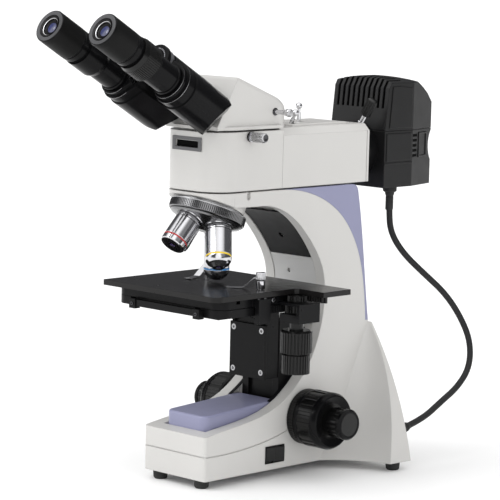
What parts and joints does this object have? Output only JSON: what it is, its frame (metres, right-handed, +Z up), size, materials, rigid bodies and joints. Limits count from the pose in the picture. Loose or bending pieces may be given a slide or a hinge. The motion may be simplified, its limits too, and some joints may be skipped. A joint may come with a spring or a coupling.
{
  "type": "microscope",
  "caption": "Upright reflected-light laboratory microscope with binocular head, revolving nosepiece, mechanical stage and rear lamp house.",
  "frame": {"origin": "on the table, at the middle of the footprint of the whole microscope without its lamp lead", "axes": "+Z up, -Y towards the observer at the eyepieces, +X to the observer's right"},
  "size_m": [0.211, 0.4961, 0.4414],
  "materials": {
    "enamel_grey": "satin",
    "enamel_lilac": "satin",
    "enamel_black": "satin",
    "lamp_charcoal": "textured",
    "knob_black": "matte",
    "panel_dark": "matte",
    "panel_grey": "matte",
    "switch_black": "gloss",
    "chrome_trim": "polished",
    "steel": "brushed",
    "alloy": "machined",
    "brass_gear": "machined",
    "lens_glass": "polished",
    "foot_rubber": "matte",
    "cable_rubber": "satin",
    "board_green": "matte"
  },
  "bodies": {
    "stand": {"stand_casting": "enamel_grey", "rear_cover": "enamel_lilac", "base_cover": "enamel_lilac", "throat_panel_upper": "panel_dark", "throat_panel_lower": "panel_grey", "bottom_plate": "steel", "rubber_feet": "foot_rubber", "power_board": "board_green", "lead_socket": "foot_rubber", "focus_guide": "steel", "nosepiece_mount": "steel", "illuminator_block": "enamel_grey", "illuminator_housing": "enamel_grey", "beam_splitter": "lens_glass", "collector_lens": "lens_glass", "lamp_adapter": "enamel_black", "lamp_house": "lamp_charcoal", "lamp_house_cover": "lamp_charcoal", "lamp_bulb": "lens_glass", "lead_gland": "foot_rubber", "lamp_lead": "cable_rubber"},
    "coarse_focus": {"coarse_shaft": "steel", "coarse_knobs": "knob_black"},
    "fine_focus": {"fine_shaft": "steel", "fine_knobs": "knob_black"},
    "focus_tension": {"tension_ring": "enamel_grey"},
    "focus_slide": {"coarse_slide": "steel"},
    "stage_support": {"stage_bracket": "enamel_black", "bracket_cover": "enamel_black", "bracket_screws": "steel", "stage_base": "enamel_black", "front_bar": "steel"},
    "stage_carriage": {"stage_middle": "enamel_black"},
    "stage_plate": {"stage_top": "enamel_black"},
    "y_drive_knob": {"stage_y_knob": "knob_black"},
    "x_drive_knob": {"stage_x_knob": "knob_black"},
    "left_clip": {"clip_left": "chrome_trim"},
    "right_clip": {"clip_right": "chrome_trim"},
    "turret": {"nosepiece": "enamel_black", "objective_low": "chrome_trim", "objective_medium": "chrome_trim", "objective_high": "chrome_trim", "objective_working": "chrome_trim"},
    "head": {"head_casting": "enamel_grey", "hinge_pivot": "alloy"},
    "beam_selector": {"head_pull_rod": "chrome_trim"},
    "head_clamp": {"head_clamp_screw": "chrome_trim"},
    "right_eye_half": {"prism_housing_right": "enamel_black", "prism_right": "lens_glass", "eyetube_right": "enamel_black", "eyepiece_right": "enamel_black"},
    "left_eye_half": {"prism_housing_left": "enamel_black", "prism_left": "lens_glass", "eyetube_left": "enamel_black", "eyepiece_left": "enamel_black"},
    "diopter": {"diopter_ring": "enamel_black"},
    "field_diaphragm": {"field_lever": "chrome_trim"},
    "aperture_diaphragm": {"aperture_lever": "chrome_trim"},
    "lamp_clamp": {"lamp_clamp_knob": "knob_black"},
    "power_switch": {"rocker_switch": "switch_black"}
  },
  "joints": [
    {"name": "coarse_focus_travel", "type": "slide", "parent": "stand", "child": "focus_slide", "axis": [0, 0, 1], "range_m": [-0.019, 0.001]},
    {"name": "coarse_focus_turn", "type": "hinge", "parent": "stand", "child": "coarse_focus", "pos_m": [-0.0065, 0.0416, 0.0546], "axis": [1, 0, 0], "range_deg": [-12, 184]},
    {"name": "fine_focus_travel", "type": "slide", "parent": "focus_slide", "child": "stage_support", "axis": [0, 0, 1], "range_m": [-0.0005, 0.0005]},
    {"name": "fine_focus_turn", "type": "hinge", "parent": "stand", "child": "fine_focus", "pos_m": [-0.0065, 0.0416, 0.0546], "axis": [1, 0, 0], "range_deg": [-182, 182]},
    {"name": "focus_tension_turn", "type": "hinge", "parent": "stand", "child": "focus_tension", "pos_m": [-0.0065, 0.0416, 0.0546], "axis": [1, 0, 0], "range_deg": [-60, 60]},
    {"name": "stage_y_travel", "type": "slide", "parent": "stage_support", "child": "stage_carriage", "axis": [0, 1, 0], "range_m": [-0.015, 0.015]},
    {"name": "stage_y_turn", "type": "hinge", "parent": "stage_carriage", "child": "y_drive_knob", "pos_m": [0.0775, -0.0202, 0.14], "axis": [0, 0, 1], "range_deg": [-90, 90]},
    {"name": "stage_x_travel", "type": "slide", "parent": "stage_carriage", "child": "stage_plate", "axis": [1, 0, 0], "range_m": [-0.015, 0.015]},
    {"name": "stage_x_turn", "type": "hinge", "parent": "stage_carriage", "child": "x_drive_knob", "pos_m": [0.0775, -0.0202, 0.118], "axis": [0, 0, 1], "range_deg": [-110, 110]},
    {"name": "left_clip_swing", "type": "hinge", "parent": "stage_plate", "child": "left_clip", "pos_m": [-0.0465, -0.0127, 0.1876], "axis": [0, 0, 1], "range_deg": [-70, 0]},
    {"name": "right_clip_swing", "type": "hinge", "parent": "stage_plate", "child": "right_clip", "pos_m": [0.0555, -0.0467, 0.1876], "axis": [0, 0, 1], "range_deg": [-25, 60]},
    {"name": "nosepiece_turn", "type": "hinge", "parent": "stand", "child": "turret", "pos_m": [-0.0065, -0.0427, 0.2874], "axis": [0, -0.3746, -0.9272], "continuous": true},
    {"name": "head_turn", "type": "hinge", "parent": "stand", "child": "head", "pos_m": [-0.0065, -0.0427, 0.33], "axis": [0, 0, 1], "range_deg": [-90, 90]},
    {"name": "head_clamp_turn", "type": "hinge", "parent": "stand", "child": "head_clamp", "pos_m": [0.0315, -0.0407, 0.327], "axis": [1, 0, 0], "range_deg": [0, 360]},
    {"name": "beam_selector_pull", "type": "slide", "parent": "head", "child": "beam_selector", "axis": [1, 0, 0], "range_m": [-0.008, 0.012]},
    {"name": "right_eye_swing", "type": "hinge", "parent": "head", "child": "right_eye_half", "pos_m": [-0.0065, -0.0648, 0.3613], "axis": [0, -0.866, 0.5], "range_deg": [-14, 10]},
    {"name": "left_eye_swing", "type": "hinge", "parent": "head", "child": "left_eye_half", "pos_m": [-0.0065, -0.0648, 0.3613], "axis": [0, -0.866, 0.5], "range_deg": [-10, 14]},
    {"name": "diopter_turn", "type": "hinge", "parent": "right_eye_half", "child": "diopter", "pos_m": [0.02825, -0.17539, 0.39975], "axis": [0, -0.866, 0.5], "range_deg": [-120, 120]},
    {"name": "field_diaphragm_swing", "type": "hinge", "parent": "stand", "child": "field_diaphragm", "pos_m": [-0.0065, 0.0648, 0.3046], "axis": [0, 1, 0], "range_deg": [-26, 26]},
    {"name": "aperture_diaphragm_swing", "type": "hinge", "parent": "stand", "child": "aperture_diaphragm", "pos_m": [-0.0065, 0.0393, 0.3046], "axis": [0, 1, 0], "range_deg": [-50, 0]},
    {"name": "lamp_clamp_turn", "type": "hinge", "parent": "stand", "child": "lamp_clamp", "pos_m": [-0.0065, 0.1353, 0.3046], "axis": [0.5446, 0, 0.8387], "range_deg": [0, 360]},
    {"name": "power_switch_rock", "type": "hinge", "parent": "stand", "child": "power_switch", "pos_m": [0.0315, -0.0002, 0.023], "axis": [0, 0, 1], "range_deg": [0, 14]}
  ],
  "couplings": [
    {"joint": "coarse_focus_turn", "follows": "coarse_focus_travel", "rad_per_m": -166.67},
    {"joint": "fine_focus_turn", "follows": "fine_focus_travel", "rad_per_m": 6283.2},
    {"joint": "stage_y_turn", "follows": "stage_y_travel", "rad_per_m": 95.238},
    {"joint": "stage_x_turn", "follows": "stage_x_travel", "rad_per_m": -117.65},
    {"joint": "left_eye_swing", "follows": "right_eye_swing", "ratio": -1}
  ]
}
